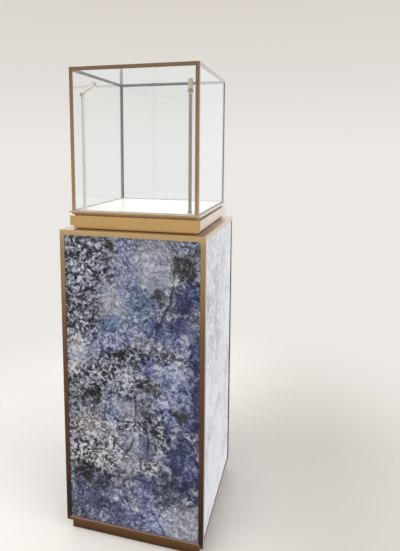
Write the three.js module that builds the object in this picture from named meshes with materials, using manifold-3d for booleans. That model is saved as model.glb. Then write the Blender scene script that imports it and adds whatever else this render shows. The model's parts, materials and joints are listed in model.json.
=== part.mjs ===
// Pedestal display case: a stone-clad pedestal in a mitred metal frame, a stepped neck with a
// moulded band, a white display deck with two pole lamps, and a lift-off hood of framed glass.
// Millimetres, +Z up, front towards -Y. The origin is the centre of the footprint, on the floor.
import * as THREE from "three";
import { mergeVertices } from "three/addons/utils/BufferGeometryUtils.js";
import Module from "manifold-3d";

const wasm = await Module();
wasm.setup();

// ---------------------------------------------------------------- driving dimensions
const FIT = 0.3; // gap between pieces that meet but are not one
const MITRE_GAP = 0.3; // hairline seam at the mitred corners
const OVERSHOOT = 1; // how far a cutting tool runs past the faces it cuts

// pedestal
const PEDESTAL_WIDTH = 450;
const PEDESTAL_HEIGHT = 950; // from the underside of the bottom pan to the top of the cap
const SHEET = 1.5; // metal of the pan, cap, corner posts and neck
const FACE_FRAME = 15; // visible width of the frame round each stone panel
const STONE_THICK = 9;
const WALL_BOARD = 15;
const FLOOR_BOARD = 18; // base board and top board

// recessed plinth
const PLINTH_INSET = 13; // from the pedestal's sides
const PLINTH_TOP = 36;
const PLINTH_CLEARANCE = 2; // the plinth stays this far off the floor, on its feet
const PLINTH_BOARD = 18;
const PLINTH_LIP = 18;

// levelling feet
const FOOT_GAP = 6; // between a foot's pad and the plinth board
const FOOT_PAD_RADIUS = 15;
const FOOT_PAD_THICK = 6;
const FOOT_NUT_RADIUS = 8;
const FOOT_NUT_THICK = 5;
const FOOT_EDGE = 1.5;
const STEM_RADIUS = 4;
const STEM_REACH = 14.5; // how far the stem stands up in the base board

// cable way
const CABLE_HOLE_RADIUS = 11;
const CABLE_FROM_WALL = 104; // axis of the holes in the boards, from the back wall board
const GROMMET_BORE = 4.5;
const GROMMET_FLANGE = 13;
const GROMMET_LIP = 2;

// stepped neck and band
const SHADOW_INSET = 6; // depth of the dark recess under each neck
const LOWER_SHADOW = 2;
const UPPER_SHADOW = 3.5;
const LOWER_NECK_INSET = 31; // from the pedestal's sides
const LOWER_NECK_HEIGHT = 11;
const BAND_INSET = 22; // from the pedestal's sides
const BAND_HEIGHT = 30;
const BAND_CORNER = 5;
const UPPER_NECK_HEIGHT = 9;
const NECK_RING = 22; // width of the necks' rings in plan
const BAND_LIP = 24;

// hood
const HOOD_INSET = 28.5; // from the pedestal's sides
const HOOD_HEIGHT = 423;
const FLANGE_THICK = 5; // the flange's rim is flush with the band
const FLANGE_LEDGE = 1; // how far the flange shows inside the glass
const TRIM_LEG = 11.5;
const TRIM_THICK = 1.2;
const GLASS = 5;
const SEAL_THICK = 2;

// deck and driver
const DECK_GAP = 1; // round the deck, so that the hood's flange lifts past it
const DRIVER = { length: 150, width: 42, height: 22, gap: 13 }; // gap: behind it, to the neck
const DRIVER_TAB = { length: 12, width: 21, thick: 3, holeRadius: 2 };

// lamps
const POLE_RADIUS = 5;
const POLE_WALL = 1;
const POLE_HEADROOM = 84; // from the top of the pole to the top of the hood
const LAMP_FOOT_RADIUS = 7; // a plain bush, pressed into the deck
const LAMP_FOOT_RISE = 4.5;
const LAMP_FOOT_EDGE = 1;
const WIRE_BORE = 3; // radius of the hole in the foot's floor
const LAMP_FOOT_DROP = 11; // below the deck's top
const SOCKET_FLOOR = 1.5;
const YOKE_DISC = 1.5;
const YOKE_ROOT = { front: 3, back: 4 }; // foot of the tongue, from the pole's axis
const SPIGOT_DROP = 7;
const TONGUE_THICK = 4.4;
const EYE_RADIUS = 3.4;
const PIVOT_RISE = 7.8; // pivot above the pole's top
const PIVOT_OFFSET = 5; // pivot behind the pole's axis
const PIN_RADIUS = 1.5;
const PIN_CAP_RADIUS = 3.2;
const PIN_CAP_THICK = 2;
const PIN_CAP_EDGE = 0.4;
const EAR_THICK = 2.5;
const HEAD_RADIUS = 7.5;
const HEAD_START = 6; // barrel's back face, from the pivot
const HEAD_END = 54; // front of the bezel, from the pivot
const BEZEL_LENGTH = 2.5;
const BEZEL_EDGE = 0.5;
const BEZEL_LIP = 0.6; // the bezel's opening is this much smaller than the barrel's bore
const HEAD_WALL = 1.6;
const HEAD_EDGE = 1;
const HEAD_BACK = 8; // solid back of the barrel
const HEAD_GROOVE_AT = 20;
const HEAD_GROOVE = { width: 1.2, depth: 0.5 };
const LENS_THICK = 2;
const LENS_SET_BACK = 1;
const LAMPS = [ // pole axes are set in from the faces of the glass
  { side: "left", hand: -1, fromSide: 18, fromFront: 33, azimuth: 15, tilt: 38 },
  { side: "right", hand: 1, fromSide: 29.5, fromFront: 38, azimuth: 105, tilt: 42 },
];

// facets round a circle
const SMALL_ROUND = 24;
const ROUND = 36;

// ---------------------------------------------------------------- worked-out levels
const PEDESTAL_HALF = PEDESTAL_WIDTH / 2;
const PAN_TOP = PLINTH_TOP + SHEET;
const CAP_TOP = PLINTH_TOP + PEDESTAL_HEIGHT;
const CAP_UNDER = CAP_TOP - SHEET;
const LOWER_NECK_TOP = CAP_TOP + LOWER_NECK_HEIGHT;
const BAND_TOP = LOWER_NECK_TOP + BAND_HEIGHT;
const UPPER_NECK_TOP = BAND_TOP + UPPER_NECK_HEIGHT;
const DECK_TOP = UPPER_NECK_TOP + FLANGE_THICK;
const HOOD_TOP = DECK_TOP + HOOD_HEIGHT;
const BAND_HALF = PEDESTAL_HALF - BAND_INSET;
const LOWER_NECK_HALF = PEDESTAL_HALF - LOWER_NECK_INSET;
const HOOD_HALF = PEDESTAL_HALF - HOOD_INSET;
const GLASS_FACE = HOOD_HALF - TRIM_THICK - FIT; // outer face of the side panes
const GLASS_INNER = GLASS_FACE - GLASS;
const FLANGE_INNER = GLASS_INNER - FLANGE_LEDGE;
const DECK_HALF = FLANGE_INNER - DECK_GAP;
const GLASS_LOW = DECK_TOP + SEAL_THICK;
const TOP_PANE_LOW = HOOD_TOP - TRIM_THICK - FIT - GLASS;
const STONE_FACE = PEDESTAL_HALF - SHEET - FIT;
const BOARD_FACE = STONE_FACE - STONE_THICK - FIT;
const BASE_BOARD_TOP = PAN_TOP + FLOOR_BOARD;
const TOP_BOARD_LOW = CAP_UNDER - FLOOR_BOARD;
const WALL_INNER = BOARD_FACE - WALL_BOARD;
const CABLE_AT = WALL_INNER - CABLE_FROM_WALL;
const PLINTH_HALF = PEDESTAL_HALF - PLINTH_INSET;
const PLINTH_BOARD_FACE = PLINTH_HALF - SHEET - FIT;
const PLINTH_INNER = PLINTH_BOARD_FACE - PLINTH_BOARD;
const FOOT_AT = PLINTH_INNER - FOOT_GAP - FOOT_PAD_RADIUS;
const STEM_TOP = PAN_TOP + STEM_REACH;
const GROMMET_Z = (PLINTH_CLEARANCE + PLINTH_TOP) / 2;
const POLE_TOP = HOOD_TOP - POLE_HEADROOM;
const SOCKET_LOW = DECK_TOP - LAMP_FOOT_DROP;
const POLE_LOW = SOCKET_LOW + SOCKET_FLOOR + FIT;

// ---------------------------------------------------------------- materials
function finish(name, color, roughness, metalness, opacity = 1) {
  return new THREE.MeshStandardMaterial({
    name,
    color,
    roughness,
    metalness,
    opacity,
    transparent: opacity < 1,
  });
}

const champagne = finish("champagne_steel", 0xb8935f, 0.35, 0.95);
const stone = finish("blue_stone", 0x6a6f92, 0.12, 0);
const board = finish("board", 0xb59a74, 0.8, 0);
const darkBoard = finish("dark_board", 0x4a3a2c, 0.8, 0);
const white = finish("white_deck", 0xf6f6f4, 0.35, 0);
const glass = finish("clear_glass", 0xeef4f2, 0.03, 0, 0.25);
const satinSteel = finish("satin_nickel", 0xb9b4aa, 0.35, 0.9);
const black = finish("black_fitting", 0x242322, 0.5, 0.2);
const rubber = finish("rubber", 0x2a2a2a, 0.85, 0);
const clearSeal = finish("seal", 0xc9cbc8, 0.5, 0, 0.6);
const zinc = finish("zinc", 0xa7a9ab, 0.4, 0.9);
const casing = finish("driver_case", 0xe6e6e2, 0.45, 0);
const optic = finish("lens", 0xf2f2e6, 0.1, 0, 0.5);

// ---------------------------------------------------------------- solids
// A closed geometry becomes a solid once its corners are shared and slivers at poles are gone.
function solid(geometry) {
  const bare = geometry.clone();
  bare.deleteAttribute("normal");
  bare.deleteAttribute("uv");
  const shared = mergeVertices(bare, 1e-4);
  const index = shared.index.array;
  const corners = [];
  for (let i = 0; i < index.length; i += 3) {
    const [a, b, c] = [index[i], index[i + 1], index[i + 2]];
    if (a !== b && b !== c && c !== a) {
      corners.push(a, b, c);
    }
  }
  return new wasm.Manifold(new wasm.Mesh({
    numProp: 3,
    vertProperties: shared.attributes.position.array,
    triVerts: new Uint32Array(corners),
  }));
}

function geometryOf(body) {
  const mesh = body.getMesh();
  const geometry = new THREE.BufferGeometry();
  geometry.setAttribute("position", new THREE.BufferAttribute(mesh.vertProperties, 3));
  geometry.setIndex(new THREE.BufferAttribute(mesh.triVerts, 1));
  geometry.computeVertexNormals();
  return geometry;
}

function join(...geometries) {
  return geometryOf(geometries.map(solid).reduce((sum, part) => sum.add(part)));
}

function cut(geometry, ...tools) {
  return geometryOf(tools.map(solid).reduce((rest, tool) => rest.subtract(tool), solid(geometry)));
}

function block(x0, x1, y0, y1, z0, z1) {
  const geometry = new THREE.BoxGeometry(x1 - x0, y1 - y0, z1 - z0);
  return geometry.translate((x0 + x1) / 2, (y0 + y1) / 2, (z0 + z1) / 2);
}

function slab(half, z0, z1) {
  return block(-half, half, -half, half, z0, z1);
}

function prism(shape, z0, z1) {
  const geometry = new THREE.ExtrudeGeometry(shape, {
    depth: z1 - z0,
    bevelEnabled: false,
    curveSegments: SMALL_ROUND / 4,
  });
  return geometry.translate(0, 0, z0);
}

// a square outline with rounded corners, on a shape or on a path that is a hole
function squareOutline(path, half, radius) {
  const inner = half - radius;
  path.moveTo(-inner, -half);
  path.lineTo(inner, -half);
  if (radius > 0) path.absarc(inner, -inner, radius, -Math.PI / 2, 0, false);
  path.lineTo(half, inner);
  if (radius > 0) path.absarc(inner, inner, radius, 0, Math.PI / 2, false);
  path.lineTo(-inner, half);
  if (radius > 0) path.absarc(-inner, inner, radius, Math.PI / 2, Math.PI, false);
  path.lineTo(-half, -inner);
  if (radius > 0) path.absarc(-inner, -inner, radius, Math.PI, Math.PI * 1.5, false);
  path.closePath();
  return path;
}

function squareRing(outer, inner, z0, z1, outerRadius = 0, innerRadius = 0) {
  const shape = squareOutline(new THREE.Shape(), outer, outerRadius);
  shape.holes.push(squareOutline(new THREE.Path(), inner, innerRadius));
  return prism(shape, z0, z1);
}

// a profile of [radius, height] pairs turned about +Z
function turned(profile, segments = ROUND) {
  const points = profile.map(([radius, height]) => new THREE.Vector2(radius, height));
  return new THREE.LatheGeometry(points, segments).rotateX(Math.PI / 2);
}

function rod(radius, z0, z1, segments = SMALL_ROUND) {
  return turned([[0, z0], [radius, z0], [radius, z1], [0, z1]], segments);
}

// a cutting rod that runs past both faces of what it goes through
function bore(radius, z0, z1) {
  return rod(radius, z0 - OVERSHOOT, z1 + OVERSHOOT);
}

// ---------------------------------------------------------------- mitred metal
// An angle trim runs along local +Z from 0 to its length, with its legs along +X and +Y.
// Each mitred end is cut by two planes at 45 degrees, so three trims meet at a box's corner.
// Between two folded pans, it also stops short of their sheets.
function angleTrim(length, leg, thick, mitreStart, mitreEnd, panSheet = 0) {
  const section = new THREE.Shape([
    new THREE.Vector2(0, 0),
    new THREE.Vector2(leg, 0),
    new THREE.Vector2(leg, thick),
    new THREE.Vector2(thick, thick),
    new THREE.Vector2(thick, leg),
    new THREE.Vector2(0, leg),
  ]);
  const bar = prism(section, 0, length);
  const tools = [];
  if (mitreStart) tools.push(...mitreTools(leg));
  if (mitreEnd) {
    const [alongY, alongX] = mitreTools(leg);
    tools.push(alongY.rotateX(Math.PI).translate(0, 0, length));
    tools.push(alongX.rotateY(Math.PI).translate(0, 0, length));
  }
  if (panSheet > 0) {
    const stop = panSheet + FIT;
    tools.push(slab(leg * 2, -leg, stop), slab(leg * 2, length - stop, length + leg));
  }
  return tools.length ? cut(bar, ...tools) : geometryOf(solid(bar));
}

// wedges that take away everything below z = x and below z = y, and half the seam
function mitreTools(leg) {
  const seam = (MITRE_GAP / 2) * Math.SQRT2;
  const reach = leg * 2;
  const wedge = new THREE.Shape([
    new THREE.Vector2(-reach, -reach + seam),
    new THREE.Vector2(-reach, -reach * 2),
    new THREE.Vector2(reach, -reach * 2),
    new THREE.Vector2(reach, reach + seam),
  ]);
  const alongY = prism(wedge, -reach, reach).rotateX(Math.PI / 2);
  const alongX = alongY.clone().rotateZ(Math.PI / 2);
  return [alongY, alongX];
}

// lays a trim along a box's edge: from a corner, with its legs and its run along given axes
function placeTrim(mesh, corner, legA, legB, run) {
  const handed = new THREE.Vector3().crossVectors(legA, legB).dot(run) > 0;
  const basis = new THREE.Matrix4();
  basis.makeBasis(handed ? legA : legB, handed ? legB : legA, run);
  mesh.quaternion.setFromRotationMatrix(basis);
  mesh.position.copy(corner);
  return mesh;
}

const along = (x, y, z) => new THREE.Vector3(x, y, z);
const QUARTERS = [
  { tag: "front_left", sx: -1, sy: -1 },
  { tag: "front_right", sx: 1, sy: -1 },
  { tag: "back_right", sx: 1, sy: 1 },
  { tag: "back_left", sx: -1, sy: 1 },
];

// A square sheet whose four edges are folded over, each fold with 45 degree ends.
// Its outer face lies at z = 0 and its folds go up.
function foldedPan(half, fold, thick) {
  const flap = new THREE.Shape([
    new THREE.Vector2(-half, 0),
    new THREE.Vector2(half, 0),
    new THREE.Vector2(half - fold, fold),
    new THREE.Vector2(-half + fold, fold),
  ]);
  const front = prism(flap, 0, thick).rotateX(Math.PI / 2).translate(0, -half + thick, 0);
  const flaps = [0, 1, 2, 3].map((turn) => front.clone().rotateZ((turn * Math.PI) / 2));
  return join(slab(half, 0, thick), ...flaps);
}

// ---------------------------------------------------------------- assembly
const displayCase = new THREE.Group();

function add(name, geometry, material, parent = displayCase) {
  const mesh = new THREE.Mesh(geometry, material);
  mesh.name = name;
  parent.add(mesh);
  return mesh;
}

function cableHole(z0, z1) {
  return bore(CABLE_HOLE_RADIUS, z0, z1).translate(0, CABLE_AT, 0);
}

function stemHoles(z0, z1) {
  return QUARTERS.map(({ sx, sy }) =>
    bore(STEM_RADIUS + FIT, z0, z1).translate(sx * FOOT_AT, sy * FOOT_AT, 0));
}

function buildPlinth() {
  const through = bore(CABLE_HOLE_RADIUS, PLINTH_INNER, PLINTH_HALF)
    .rotateX(-Math.PI / 2)
    .translate(0, 0, GROMMET_Z);
  const skin = join(
    squareRing(PLINTH_HALF, PLINTH_HALF - SHEET, PLINTH_CLEARANCE, PLINTH_TOP),
    squareRing(PLINTH_HALF, PLINTH_HALF - PLINTH_LIP, PLINTH_TOP - SHEET, PLINTH_TOP),
  );
  add("plinth_skin", cut(skin, through), champagne);
  const frame = squareRing(
    PLINTH_BOARD_FACE,
    PLINTH_INNER,
    PLINTH_CLEARANCE + FIT,
    PLINTH_TOP - SHEET - FIT,
  );
  add("plinth_frame", cut(frame, through), darkBoard);

  const barrel = CABLE_HOLE_RADIUS - FIT;
  const outside = PLINTH_HALF + FIT;
  const inside = PLINTH_INNER - FIT;
  const grommet = turned([
    [GROMMET_BORE, inside - GROMMET_LIP],
    [GROMMET_FLANGE, inside - GROMMET_LIP],
    [GROMMET_FLANGE, inside],
    [barrel, inside],
    [barrel, outside],
    [GROMMET_FLANGE, outside],
    [GROMMET_FLANGE, outside + GROMMET_LIP],
    [GROMMET_BORE, outside + GROMMET_LIP],
    [GROMMET_BORE, inside - GROMMET_LIP],
  ], SMALL_ROUND);
  add("cable_grommet", grommet.rotateX(-Math.PI / 2).translate(0, 0, GROMMET_Z), rubber);
}

function buildFeet() {
  const edge = FOOT_EDGE;
  const profile = [
    [0, 0],
    [FOOT_PAD_RADIUS - edge, 0],
    [FOOT_PAD_RADIUS, edge],
    [FOOT_PAD_RADIUS, FOOT_PAD_THICK - edge],
    [FOOT_NUT_RADIUS + edge, FOOT_PAD_THICK],
    [FOOT_NUT_RADIUS, FOOT_PAD_THICK],
    [FOOT_NUT_RADIUS, FOOT_PAD_THICK + FOOT_NUT_THICK],
    [STEM_RADIUS, FOOT_PAD_THICK + FOOT_NUT_THICK],
    [STEM_RADIUS, STEM_TOP - edge],
    [STEM_RADIUS - edge, STEM_TOP],
    [0, STEM_TOP],
  ];
  for (const { tag, sx, sy } of QUARTERS) {
    const foot = add(`levelling_foot_${tag}`, turned(profile, SMALL_ROUND), zinc);
    foot.position.set(sx * FOOT_AT, sy * FOOT_AT, 0);
  }
}

function buildCarcass() {
  add(
    "base_board",
    cut(
      slab(BOARD_FACE, PAN_TOP, BASE_BOARD_TOP),
      cableHole(PAN_TOP, BASE_BOARD_TOP),
      ...stemHoles(PAN_TOP, BASE_BOARD_TOP),
    ),
    board,
  );
  add(
    "top_board",
    cut(slab(BOARD_FACE, TOP_BOARD_LOW, CAP_UNDER), cableHole(TOP_BOARD_LOW, CAP_UNDER)),
    board,
  );
  const low = BASE_BOARD_TOP;
  const high = TOP_BOARD_LOW;
  const inner = WALL_INNER;
  const side = inner - FIT;
  add("wall_board_front", block(-BOARD_FACE, BOARD_FACE, -BOARD_FACE, -inner, low, high), board);
  add("wall_board_back", block(-BOARD_FACE, BOARD_FACE, inner, BOARD_FACE, low, high), board);
  add("wall_board_left", block(-BOARD_FACE, -inner, -side, side, low, high), board);
  add("wall_board_right", block(inner, BOARD_FACE, -side, side, low, high), board);
}

function buildStone() {
  const low = PAN_TOP + FIT;
  const high = CAP_UNDER - FIT;
  const inner = STONE_FACE - STONE_THICK;
  const side = inner - FIT;
  add("stone_front", block(-STONE_FACE, STONE_FACE, -STONE_FACE, -inner, low, high), stone);
  add("stone_back", block(-STONE_FACE, STONE_FACE, inner, STONE_FACE, low, high), stone);
  add("stone_left", block(-STONE_FACE, -inner, -side, side, low, high), stone);
  add("stone_right", block(inner, STONE_FACE, -side, side, low, high), stone);
}

function buildFaceFrame() {
  const pan = foldedPan(PEDESTAL_HALF, FACE_FRAME, SHEET).translate(0, 0, PLINTH_TOP);
  const panHoles = [...stemHoles(PLINTH_TOP, PAN_TOP), cableHole(PLINTH_TOP, PAN_TOP)];
  add("bottom_pan", cut(pan, ...panHoles), champagne);

  const cap = foldedPan(PEDESTAL_HALF, FACE_FRAME, SHEET).rotateX(Math.PI).translate(0, 0, CAP_TOP);
  add("top_cap", cut(cap, cableHole(CAP_UNDER, CAP_TOP)), champagne);

  for (const { tag, sx, sy } of QUARTERS) {
    const post = add(
      `corner_post_${tag}`,
      angleTrim(PEDESTAL_HEIGHT, FACE_FRAME, SHEET, true, true, SHEET),
      champagne,
    );
    const corner = along(sx * PEDESTAL_HALF, sy * PEDESTAL_HALF, PLINTH_TOP);
    placeTrim(post, corner, along(-sx, 0, 0), along(0, -sy, 0), along(0, 0, 1));
  }
}

// a ring that stands on a smaller ring, which leaves a dark line under it
function neckRing(outer, shadow, z0, z1) {
  const inner = outer - NECK_RING;
  return join(
    squareRing(outer - SHADOW_INSET, inner, z0, z0 + shadow),
    squareRing(outer, inner, z0 + shadow, z1),
  );
}

function poleAxis({ hand, fromSide, fromFront }) {
  return [hand * (GLASS_INNER - fromSide), fromFront - GLASS_INNER];
}

function lampHoles(z0, z1) {
  return LAMPS.map((lamp) => {
    const [x, y] = poleAxis(lamp);
    return bore(LAMP_FOOT_RADIUS + FIT, z0, z1).translate(x, y, 0);
  });
}

function buildNeck() {
  add("lower_neck", neckRing(LOWER_NECK_HALF, LOWER_SHADOW, CAP_TOP, LOWER_NECK_TOP), champagne);
  const upper = neckRing(HOOD_HALF, UPPER_SHADOW, BAND_TOP, UPPER_NECK_TOP);
  add("upper_neck", cut(upper, ...lampHoles(BAND_TOP, UPPER_NECK_TOP)), champagne);

  const outer = BAND_HALF;
  const wallInner = outer - SHEET;
  const lipInner = outer - BAND_LIP;
  const innerRadius = BAND_CORNER - SHEET;
  const shell = join(
    squareRing(outer, wallInner, LOWER_NECK_TOP, BAND_TOP, BAND_CORNER, innerRadius),
    squareRing(outer, lipInner, LOWER_NECK_TOP, LOWER_NECK_TOP + SHEET, BAND_CORNER),
    squareRing(outer, lipInner, BAND_TOP - SHEET, BAND_TOP, BAND_CORNER),
  );
  add("band_shell", shell, champagne);
  const core = squareRing(
    wallInner - FIT,
    lipInner,
    LOWER_NECK_TOP + SHEET + FIT,
    BAND_TOP - SHEET - FIT,
    innerRadius - FIT,
  );
  add("band_core", core, darkBoard);
}

function buildDriver() {
  const tab = DRIVER_TAB;
  const half = DRIVER.length / 2;
  const back = LOWER_NECK_HALF - NECK_RING - DRIVER.gap - DRIVER.width / 2;
  const front = (width) => back - width / 2;
  const rear = (width) => back + width / 2;
  const reach = half + tab.length;
  const tabTop = CAP_TOP + tab.thick;
  const body = join(
    block(-half, half, front(DRIVER.width), rear(DRIVER.width), CAP_TOP, CAP_TOP + DRIVER.height),
    block(-reach, reach, front(tab.width), rear(tab.width), CAP_TOP, tabTop),
  );
  const screwHoles = [-1, 1].map((end) =>
    bore(tab.holeRadius, CAP_TOP, tabTop).translate(end * (half + tab.length / 2), back, 0));
  add("led_driver", cut(body, ...screwHoles), casing);
}

function buildDeck() {
  const deck = slab(DECK_HALF, UPPER_NECK_TOP, DECK_TOP);
  add("deck_board", cut(deck, ...lampHoles(UPPER_NECK_TOP, DECK_TOP)), white);
}

function buildHood() {
  add("hood_flange", squareRing(BAND_HALF, FLANGE_INNER, UPPER_NECK_TOP, DECK_TOP), champagne);
  add("glass_seal", squareRing(GLASS_FACE, GLASS_INNER, DECK_TOP, GLASS_LOW), clearSeal);

  const side = GLASS_INNER - FIT;
  const high = TOP_PANE_LOW - FIT;
  const face = GLASS_FACE;
  const inner = GLASS_INNER;
  add("glass_front", block(-face, face, -face, -inner, GLASS_LOW, high), glass);
  add("glass_back", block(-face, face, inner, face, GLASS_LOW, high), glass);
  add("glass_left", block(-face, -inner, -side, side, GLASS_LOW, high), glass);
  add("glass_right", block(inner, face, -side, side, GLASS_LOW, high), glass);
  add("glass_top", slab(face, TOP_PANE_LOW, TOP_PANE_LOW + GLASS), glass);

  for (const { tag, sx, sy } of QUARTERS) {
    const post = add(
      `hood_post_${tag}`,
      angleTrim(HOOD_HEIGHT, TRIM_LEG, TRIM_THICK, false, true),
      champagne,
    );
    const corner = along(sx * HOOD_HALF, sy * HOOD_HALF, DECK_TOP);
    placeTrim(post, corner, along(-sx, 0, 0), along(0, -sy, 0), along(0, 0, 1));
  }
  const down = along(0, 0, -1);
  const rails = [
    { tag: "front", corner: [-1, -1], run: along(1, 0, 0), inward: along(0, 1, 0) },
    { tag: "right", corner: [1, -1], run: along(0, 1, 0), inward: along(-1, 0, 0) },
    { tag: "back", corner: [1, 1], run: along(-1, 0, 0), inward: along(0, -1, 0) },
    { tag: "left", corner: [-1, 1], run: along(0, -1, 0), inward: along(1, 0, 0) },
  ];
  for (const { tag, corner, run, inward } of rails) {
    const rail = add(
      `hood_rail_${tag}`,
      angleTrim(HOOD_HALF * 2, TRIM_LEG, TRIM_THICK, true, true),
      champagne,
    );
    const start = along(corner[0] * HOOD_HALF, corner[1] * HOOD_HALF, HOOD_TOP);
    placeTrim(rail, start, down, inward, run);
  }
}

// an eye with a tail: a round end about the origin that runs out to a given length along +X
function eyePlate(length, thick, holeRadius) {
  const shape = new THREE.Shape();
  shape.moveTo(length, -EYE_RADIUS);
  shape.lineTo(length, EYE_RADIUS);
  shape.lineTo(0, EYE_RADIUS);
  shape.absarc(0, 0, EYE_RADIUS, Math.PI / 2, Math.PI * 1.5, false);
  shape.closePath();
  const hole = new THREE.Path();
  hole.absarc(0, 0, holeRadius, 0, Math.PI * 2, true);
  shape.holes.push(hole);
  return prism(shape, -thick / 2, thick / 2).rotateX(Math.PI / 2);
}

function buildLamp(lamp) {
  const name = (piece) => `lamp_${lamp.side}_${piece}`;
  const [x, y] = poleAxis(lamp);
  const socket = POLE_RADIUS + FIT;
  const lead = POLE_RADIUS - POLE_WALL;

  const foot = add(name("foot"), turned([
    [WIRE_BORE, SOCKET_LOW],
    [LAMP_FOOT_RADIUS, SOCKET_LOW],
    [LAMP_FOOT_RADIUS, DECK_TOP + LAMP_FOOT_RISE - LAMP_FOOT_EDGE],
    [LAMP_FOOT_RADIUS - LAMP_FOOT_EDGE, DECK_TOP + LAMP_FOOT_RISE],
    [socket, DECK_TOP + LAMP_FOOT_RISE],
    [socket, SOCKET_LOW + SOCKET_FLOOR],
    [WIRE_BORE, SOCKET_LOW + SOCKET_FLOOR],
    [WIRE_BORE, SOCKET_LOW],
  ]), satinSteel);
  foot.position.set(x, y, 0);

  const turntable = new THREE.Group();
  turntable.position.set(x, y, 0);
  turntable.rotation.z = THREE.MathUtils.degToRad(lamp.azimuth);
  displayCase.add(turntable);

  add(name("pole"), turned([
    [lead, POLE_LOW],
    [POLE_RADIUS, POLE_LOW],
    [POLE_RADIUS, POLE_TOP],
    [lead, POLE_TOP],
    [lead, POLE_LOW],
  ]), satinSteel, turntable);

  const pivotZ = POLE_TOP + PIVOT_RISE;
  const discLow = POLE_TOP + FIT;
  const discHigh = discLow + YOKE_DISC;
  const stem = new THREE.Shape();
  stem.moveTo(YOKE_ROOT.front, discLow);
  stem.lineTo(-PIVOT_OFFSET + EYE_RADIUS * Math.SQRT1_2, pivotZ + EYE_RADIUS * Math.SQRT1_2);
  stem.absarc(-PIVOT_OFFSET, pivotZ, EYE_RADIUS, Math.PI / 4, Math.PI, false);
  stem.lineTo(-YOKE_ROOT.back, discLow);
  stem.closePath();
  const tongue = prism(stem, -TONGUE_THICK / 2, TONGUE_THICK / 2).rotateX(Math.PI / 2);
  const spigot = rod(lead - FIT, discLow - SPIGOT_DROP, discLow + YOKE_DISC / 2, ROUND);
  const pinHole = rod(PIN_RADIUS + FIT, -TONGUE_THICK, TONGUE_THICK)
    .rotateX(Math.PI / 2)
    .translate(-PIVOT_OFFSET, 0, pivotZ);
  const yoke = join(rod(POLE_RADIUS, discLow, discHigh, ROUND), spigot, tongue);
  add(name("yoke"), cut(yoke, pinHole), satinSteel, turntable);

  const earOuter = TONGUE_THICK / 2 + FIT + EAR_THICK;
  const capLow = earOuter + FIT;
  const capHigh = capLow + PIN_CAP_THICK;
  const capFace = PIN_CAP_RADIUS - PIN_CAP_EDGE;
  const pin = turned([
    [0, -capHigh],
    [capFace, -capHigh],
    [PIN_CAP_RADIUS, -capHigh + PIN_CAP_EDGE],
    [PIN_CAP_RADIUS, -capLow],
    [PIN_RADIUS, -capLow],
    [PIN_RADIUS, capLow],
    [PIN_CAP_RADIUS, capLow],
    [PIN_CAP_RADIUS, capHigh - PIN_CAP_EDGE],
    [capFace, capHigh],
    [0, capHigh],
  ], SMALL_ROUND).rotateX(Math.PI / 2);
  add(name("pivot"), pin, black, turntable).position.set(-PIVOT_OFFSET, 0, pivotZ);

  const head = new THREE.Group();
  head.position.set(-PIVOT_OFFSET, 0, pivotZ);
  head.rotation.y = -THREE.MathUtils.degToRad(lamp.tilt);
  turntable.add(head);

  const barrelEnd = HEAD_END - BEZEL_LENGTH - FIT;
  const boreRadius = HEAD_RADIUS - HEAD_WALL;
  const grooveRadius = HEAD_RADIUS - HEAD_GROOVE.depth;
  const barrel = turned([
    [0, HEAD_START],
    [HEAD_RADIUS - HEAD_EDGE, HEAD_START],
    [HEAD_RADIUS, HEAD_START + HEAD_EDGE],
    [HEAD_RADIUS, HEAD_GROOVE_AT],
    [grooveRadius, HEAD_GROOVE_AT],
    [grooveRadius, HEAD_GROOVE_AT + HEAD_GROOVE.width],
    [HEAD_RADIUS, HEAD_GROOVE_AT + HEAD_GROOVE.width],
    [HEAD_RADIUS, barrelEnd],
    [boreRadius, barrelEnd],
    [boreRadius, HEAD_START + HEAD_BACK],
    [0, HEAD_START + HEAD_BACK],
  ]).rotateY(Math.PI / 2);
  const earAt = TONGUE_THICK / 2 + FIT + EAR_THICK / 2;
  const ears = [-1, 1].map((hand) =>
    eyePlate(HEAD_START + HEAD_EDGE, EAR_THICK, PIN_RADIUS + FIT).translate(0, hand * earAt, 0));
  add(name("head"), join(barrel, ...ears), satinSteel, head);

  const bezelLow = barrelEnd + FIT;
  const bezelBore = boreRadius - BEZEL_LIP;
  add(name("bezel"), turned([
    [bezelBore, bezelLow],
    [HEAD_RADIUS, bezelLow],
    [HEAD_RADIUS, HEAD_END - BEZEL_EDGE],
    [HEAD_RADIUS - BEZEL_EDGE, HEAD_END],
    [bezelBore, HEAD_END],
    [bezelBore, bezelLow],
  ]).rotateY(Math.PI / 2), black, head);

  const lensFront = barrelEnd - LENS_SET_BACK;
  const lens = rod(boreRadius - FIT, lensFront - LENS_THICK, lensFront, ROUND);
  add(name("lens"), lens.rotateY(Math.PI / 2), optic, head);
}

buildPlinth();
buildFeet();
buildCarcass();
buildStone();
buildFaceFrame();
buildNeck();
buildDriver();
buildDeck();
buildHood();
LAMPS.forEach(buildLamp);

export default displayCase;
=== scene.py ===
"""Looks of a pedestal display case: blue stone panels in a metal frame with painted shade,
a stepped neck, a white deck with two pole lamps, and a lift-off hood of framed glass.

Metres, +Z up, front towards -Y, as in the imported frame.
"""
import json
import math

import bmesh
import bpy
from mathutils import Matrix, Vector


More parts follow.
